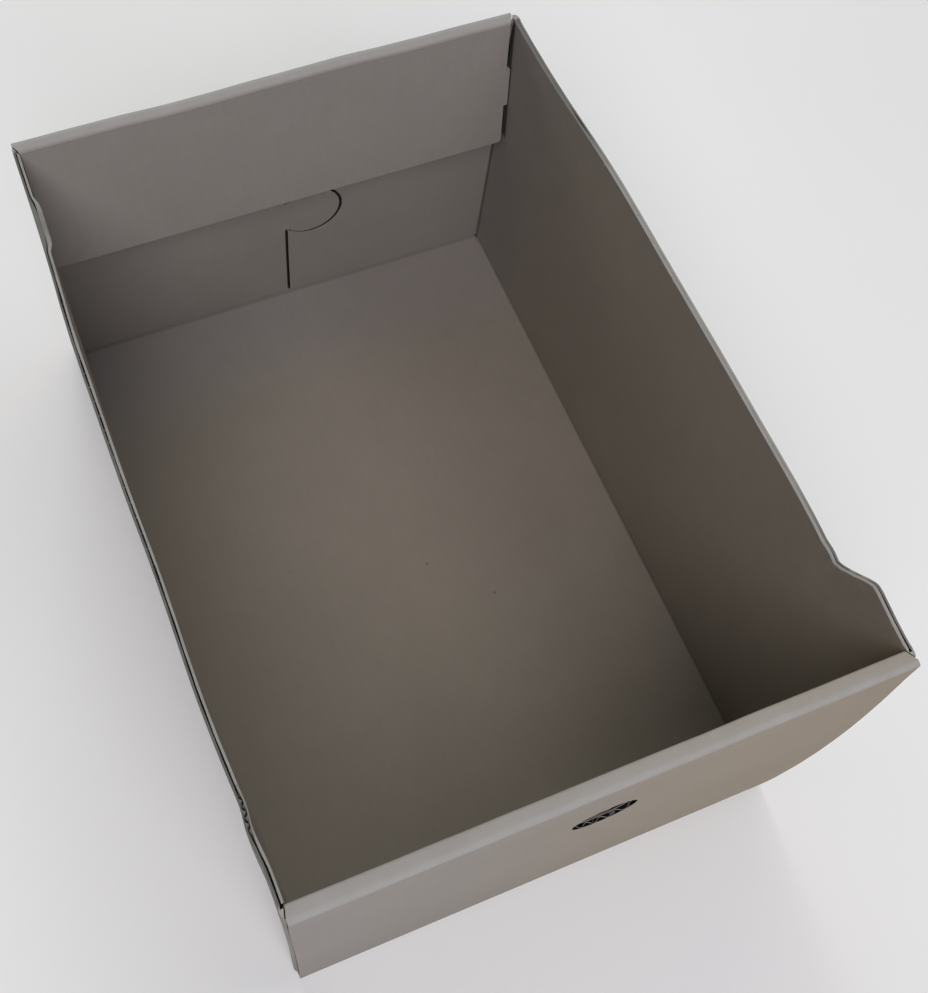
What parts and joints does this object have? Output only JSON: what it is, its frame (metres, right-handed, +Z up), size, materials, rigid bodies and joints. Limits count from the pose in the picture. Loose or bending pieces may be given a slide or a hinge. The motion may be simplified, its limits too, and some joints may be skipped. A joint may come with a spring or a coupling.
{
  "type": "cardboard storage drawer",
  "caption": "Deep open drawer folded from corrugated cardboard, with rolled end rims, low side walls, a taller front and a round finger hole.",
  "frame": {"origin": "under the middle of the whole drawer, on the underside of the floor", "axes": "+Z up, -Y towards the front with the finger hole, +X to the right when the front is faced"},
  "size_m": [0.3215, 0.4592, 0.248],
  "materials": {
    "cardboard": "matt grey-brown kraft liner"
  },
  "bodies": {
    "root": {"folded_drawer": "cardboard"}
  },
  "joints": []
}
